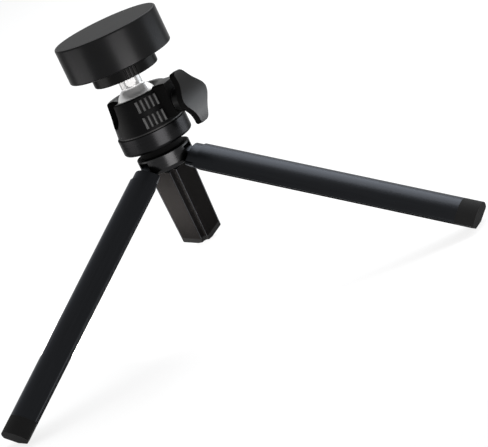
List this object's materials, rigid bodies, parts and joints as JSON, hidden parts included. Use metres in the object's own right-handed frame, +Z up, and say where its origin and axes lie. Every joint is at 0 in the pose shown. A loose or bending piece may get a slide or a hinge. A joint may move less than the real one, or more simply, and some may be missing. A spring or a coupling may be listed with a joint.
{
  "type": "webcam on tripod",
  "caption": "Round plain webcam on a tabletop tripod with a ball head, wing lock knob, lock disc and folding sector legs that close into a round handle.",
  "frame": {"origin": "point of the tripod's axis on the floor that the three feet stand on", "axes": "+Z up along the tripod's axis; +Y away from the front, over the rear leg and the way the lens looks; +X to the right seen from the front"},
  "size_m": [0.216, 0.1898, 0.1287],
  "materials": {
    "black_anodised": "black anodised, finely brushed",
    "steel": "plain steel",
    "nylon": "black nylon",
    "brass": "turned brass",
    "black_plastic": "black moulded plastic, fine grain",
    "chrome": "bright chrome plate",
    "rubber": "matte black rubber",
    "webcam_black": "satin black shell, matte top",
    "gloss_black": "gloss black",
    "glass": "coated optical glass",
    "chip": "epoxy chip package",
    "board": "green circuit board",
    "lamp": "small lamp package",
    "clear_plastic": "clear moulded light pipe",
    "ribbon": "amber film cable"
  },
  "bodies": {
    "base": {"hub": "black_anodised", "hinge_pins": "steel", "hinge_washers": "nylon", "hub_screw": "steel", "base_ring": "black_anodised", "pan_pivot": "brass", "pan_washer": "nylon"},
    "head": {"head_casing": "black_plastic", "casing_floor_ring": "black_anodised", "ball_seat": "nylon", "brake_shoe": "nylon", "knob_washer": "nylon"},
    "knob": {"lock_screw": "steel", "wing_knob": "black_plastic"},
    "ball": {"ball_stem": "chrome", "camera_stud": "steel"},
    "disc": {"lock_disc": "black_plastic", "disc_pad": "rubber"},
    "webcam": {"webcam_shell": "webcam_black", "webcam_base_cover": "black_plastic", "thread_insert": "brass", "cover_screws": "steel", "lens_bezel": "gloss_black", "lens_window": "glass", "lens_barrel": "black_plastic", "lens_elements": "glass", "lens_holder": "black_plastic", "image_sensor": "chip", "sensor_board": "board", "status_lamp": "lamp", "light_pipe": "clear_plastic", "microphone": "steel", "microphone_boot": "rubber", "main_board": "board", "image_processor": "chip", "ribbon_cable": "ribbon", "usb_socket_shell": "steel", "usb_socket_tongue": "gloss_black"},
    "leg_left": {"leg_knuckle_left": "black_anodised", "leg_tube_left": "black_anodised", "leg_foot_left": "rubber"},
    "leg_right": {"leg_knuckle_right": "black_anodised", "leg_tube_right": "black_anodised", "leg_foot_right": "rubber"},
    "leg_rear": {"leg_knuckle_rear": "black_anodised", "leg_tube_rear": "black_anodised", "leg_foot_rear": "rubber"}
  },
  "joints": [
    {"name": "leg_right_fold", "type": "hinge", "parent": "base", "child": "leg_right", "pos_m": [0.00649, -0.00375, 0.06908], "axis": [0.5, 0.866, 0], "range_deg": [0, 60]},
    {"name": "leg_rear_fold", "type": "hinge", "parent": "base", "child": "leg_rear", "pos_m": [0, 0.0075, 0.06908], "axis": [-1, 0, 0], "range_deg": [0, 60]},
    {"name": "leg_left_fold", "type": "hinge", "parent": "base", "child": "leg_left", "pos_m": [-0.00649, -0.00375, 0.06908], "axis": [0.5, -0.866, 0], "range_deg": [0, 60]},
    {"name": "head_pan", "type": "hinge", "parent": "base", "child": "head", "pos_m": [0, 0, 0.08368], "axis": [0, 0, 1], "continuous": true},
    {"name": "ball_tilt", "type": "hinge", "parent": "head", "child": "ball", "pos_m": [0, 0, 0.09348], "axis": [-0.2079, 0.9781, 0], "range_deg": [-75, 28]},
    {"name": "lock_knob_turn", "type": "hinge", "parent": "head", "child": "knob", "pos_m": [0.01458, -0.01139, 0.08998], "axis": [0.788, -0.6157, 0], "range_deg": [0, 360]},
    {"name": "lock_disc_turn", "type": "hinge", "parent": "ball", "child": "disc", "pos_m": [0, 0, 0.10688], "axis": [0, 0, 1], "continuous": true},
    {"name": "webcam_turn", "type": "hinge", "parent": "ball", "child": "webcam", "pos_m": [0, 0, 0.11268], "axis": [0, 0, 1], "continuous": true}
  ]
}
